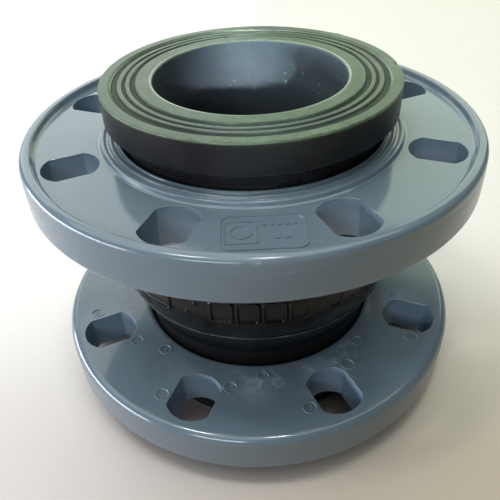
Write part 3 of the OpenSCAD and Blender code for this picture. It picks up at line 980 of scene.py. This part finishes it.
FINE = column_angles()
EVEN = np.arange(240) * 1.5
PLAIN = np.arange(144) * 2.5
wall_layer("outer_cover_ring", "outer_cover", MAT_COVER, TUBE + 2 * PLY, 1.0, 0.0, 0.0, FINE, lambda z: 3.0, cover_step, raised=True)
wall_layer("inner_tube_ring", "inner_tube", MAT_TUBE, 0.0, TUBE, 0.0, GAP, EVEN, lambda z: 0.9, lambda z: 3.0)
wall_layer("inner_ply_ring", "inner_ply", MAT_PLY, TUBE, TUBE + PLY, 0.0, GAP, PLAIN, lambda z: 2.5, lambda z: 2.5)
wall_layer("outer_ply_ring", "outer_ply", MAT_PLY, TUBE + PLY, TUBE + 2 * PLY, 0.0, GAP, PLAIN, lambda z: 2.5, lambda z: 2.5)

# ---------------------------------------------------------------- the CAD pieces that stay
for node, mat, slot in (("lower_bead_wire", MAT_WIRE, "bead_wire"), ("upper_bead_wire", MAT_WIRE, "bead_wire"),
                        ("lower_bead_wrap", MAT_WRAP, "wrap_fabric"), ("upper_bead_wrap", MAT_WRAP, "wrap_fabric")):
    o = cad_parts[node]
    if not o.material_slots:
        o.data.materials.append(mat)
    for s in o.material_slots:
        s.material = mat


# ---------------------------------------------------------------- stage, light and camera
def make_floor():
    n, size = 60, 6.0
    xs = np.sign(np.linspace(-1, 1, n)) * np.abs(np.linspace(-1, 1, n)) ** 1.8 * size
    verts = [(x, y, -0.0002) for y in xs for x in xs]
    faces = [(j * n + i, j * n + i + 1, (j + 1) * n + i + 1, (j + 1) * n + i) for j in range(n - 1) for i in range(n - 1)]
    o = new_object("floor", new_mesh("floor", verts, faces))
    o.data.materials.append(floor_paint("floor_paint"))


make_floor()

# the camera's place and turn, as fitted to the circles of the object
YAW, PITCH, ROLL = 0.007653, -0.665249, -0.041739
SPIN = math.radians(22.5)
place = Matrix.Rotation(SPIN, 3, "Z")
cy, sy, cp, sp = math.cos(YAW), math.sin(YAW), math.cos(PITCH), math.sin(PITCH)
fwd = Vector((sy * cp, cy * cp, sp))
right = Vector((cy, -sy, 0))
upv = right.cross(fwd)
r2 = right * math.cos(ROLL) + upv * math.sin(ROLL)
u2 = upv * math.cos(ROLL) - right * math.sin(ROLL)
r2, u2, fw = place @ r2, place @ u2, place @ fwd
loc = place @ Vector((-0.004897, -0.233522, 0.228024 + 0.0102))
cam_data = bpy.data.cameras.new("camera")
cam = bpy.data.objects.new("camera", cam_data)
bpy.context.scene.collection.objects.link(cam)
cam_data.sensor_width = 36.0
cam_data.lens = 566.218 / 500 * 36.0
cam_data.clip_start, cam_data.clip_end = 0.01, 50.0
cam.matrix_world = Matrix(((r2.x, u2.x, -fw.x, loc.x), (r2.y, u2.y, -fw.y, loc.y), (r2.z, u2.z, -fw.z, loc.z), (0, 0, 0, 1)))
bpy.context.scene.camera = cam

# axes of the view on the floor: ahead is away from the camera, side is to its right
ahead = Vector((fw.x, fw.y, 0)).normalized()
side = Vector((ahead.y, -ahead.x, 0))


def panel(name, at, toward, size, power, colour, spread=180):
    l = bpy.data.lights.new(name, "AREA")
    l.shape, l.size, l.size_y = "RECTANGLE", size[0], size[1]
    l.energy, l.color, l.spread = power, colour, math.radians(spread)
    o = bpy.data.objects.new(name, l)
    bpy.context.scene.collection.objects.link(o)
    o.location = at
    o.rotation_mode = "QUATERNION"
    o.rotation_quaternion = (Vector(toward) - Vector(at)).to_track_quat("-Z", "Y")
    return o


def at(a, s, z):
    return ahead * a + side * s + Vector((0, 0, z))


centre = Vector((0, 0, 0.08))
panel("window_back", at(1.5, 0.75, 0.78), centre, (1.35, 1.0), 7.8, (0.86, 1.0, 0.74))
panel("window_back_left", at(1.5, -0.65, 0.78), centre, (1.45, 1.0), 9.6, (0.93, 1.0, 0.96))
panel("window_left", at(-0.1, -1.2, 0.19), centre, (1.4, 0.26), 20, (0.86, 0.90, 1.0))
panel("fill_front", at(-1.12, -0.46, 0.74), centre, (0.55, 0.32), 5.4, (0.86, 0.95, 1.0))
panel("lamp_front", at(-1.05, 0.03, 0.445), at(0.041, 0.0, 0.145), (0.03, 0.08), 0.024, (0.80, 0.91, 1.0), 3)
panel("ceiling", at(0.3, -0.3, 2.2), centre, (3.2, 3.2), 61, (0.96, 1.0, 0.92))
panel("lamp_a", at(-0.15, -0.53, 1.7), centre, (0.14, 0.30), 5.2, (1.0, 1.0, 1.0))
panel("lamp_b", at(-0.2, 0.09, 1.7), centre, (0.14, 0.30), 4.8, (1.0, 1.0, 1.0))

world = bpy.data.worlds.new("room")
bpy.context.scene.world = world
world.use_nodes = True
bg = world.node_tree.nodes.get("Background") or world.node_tree.nodes.new("ShaderNodeBackground")
bg.inputs["Color"].default_value = (0.86, 0.92, 1.0, 1)
bg.inputs["Strength"].default_value = 0.06
outn = world.node_tree.nodes.get("World Output") or world.node_tree.nodes.new("ShaderNodeOutputWorld")
world.node_tree.links.new(bg.outputs[0], outn.inputs["Surface"])
bpy.context.scene.view_settings.view_transform = "Standard"
bpy.context.scene.view_settings.look = "None"
bpy.context.scene.view_settings.exposure = 0.0
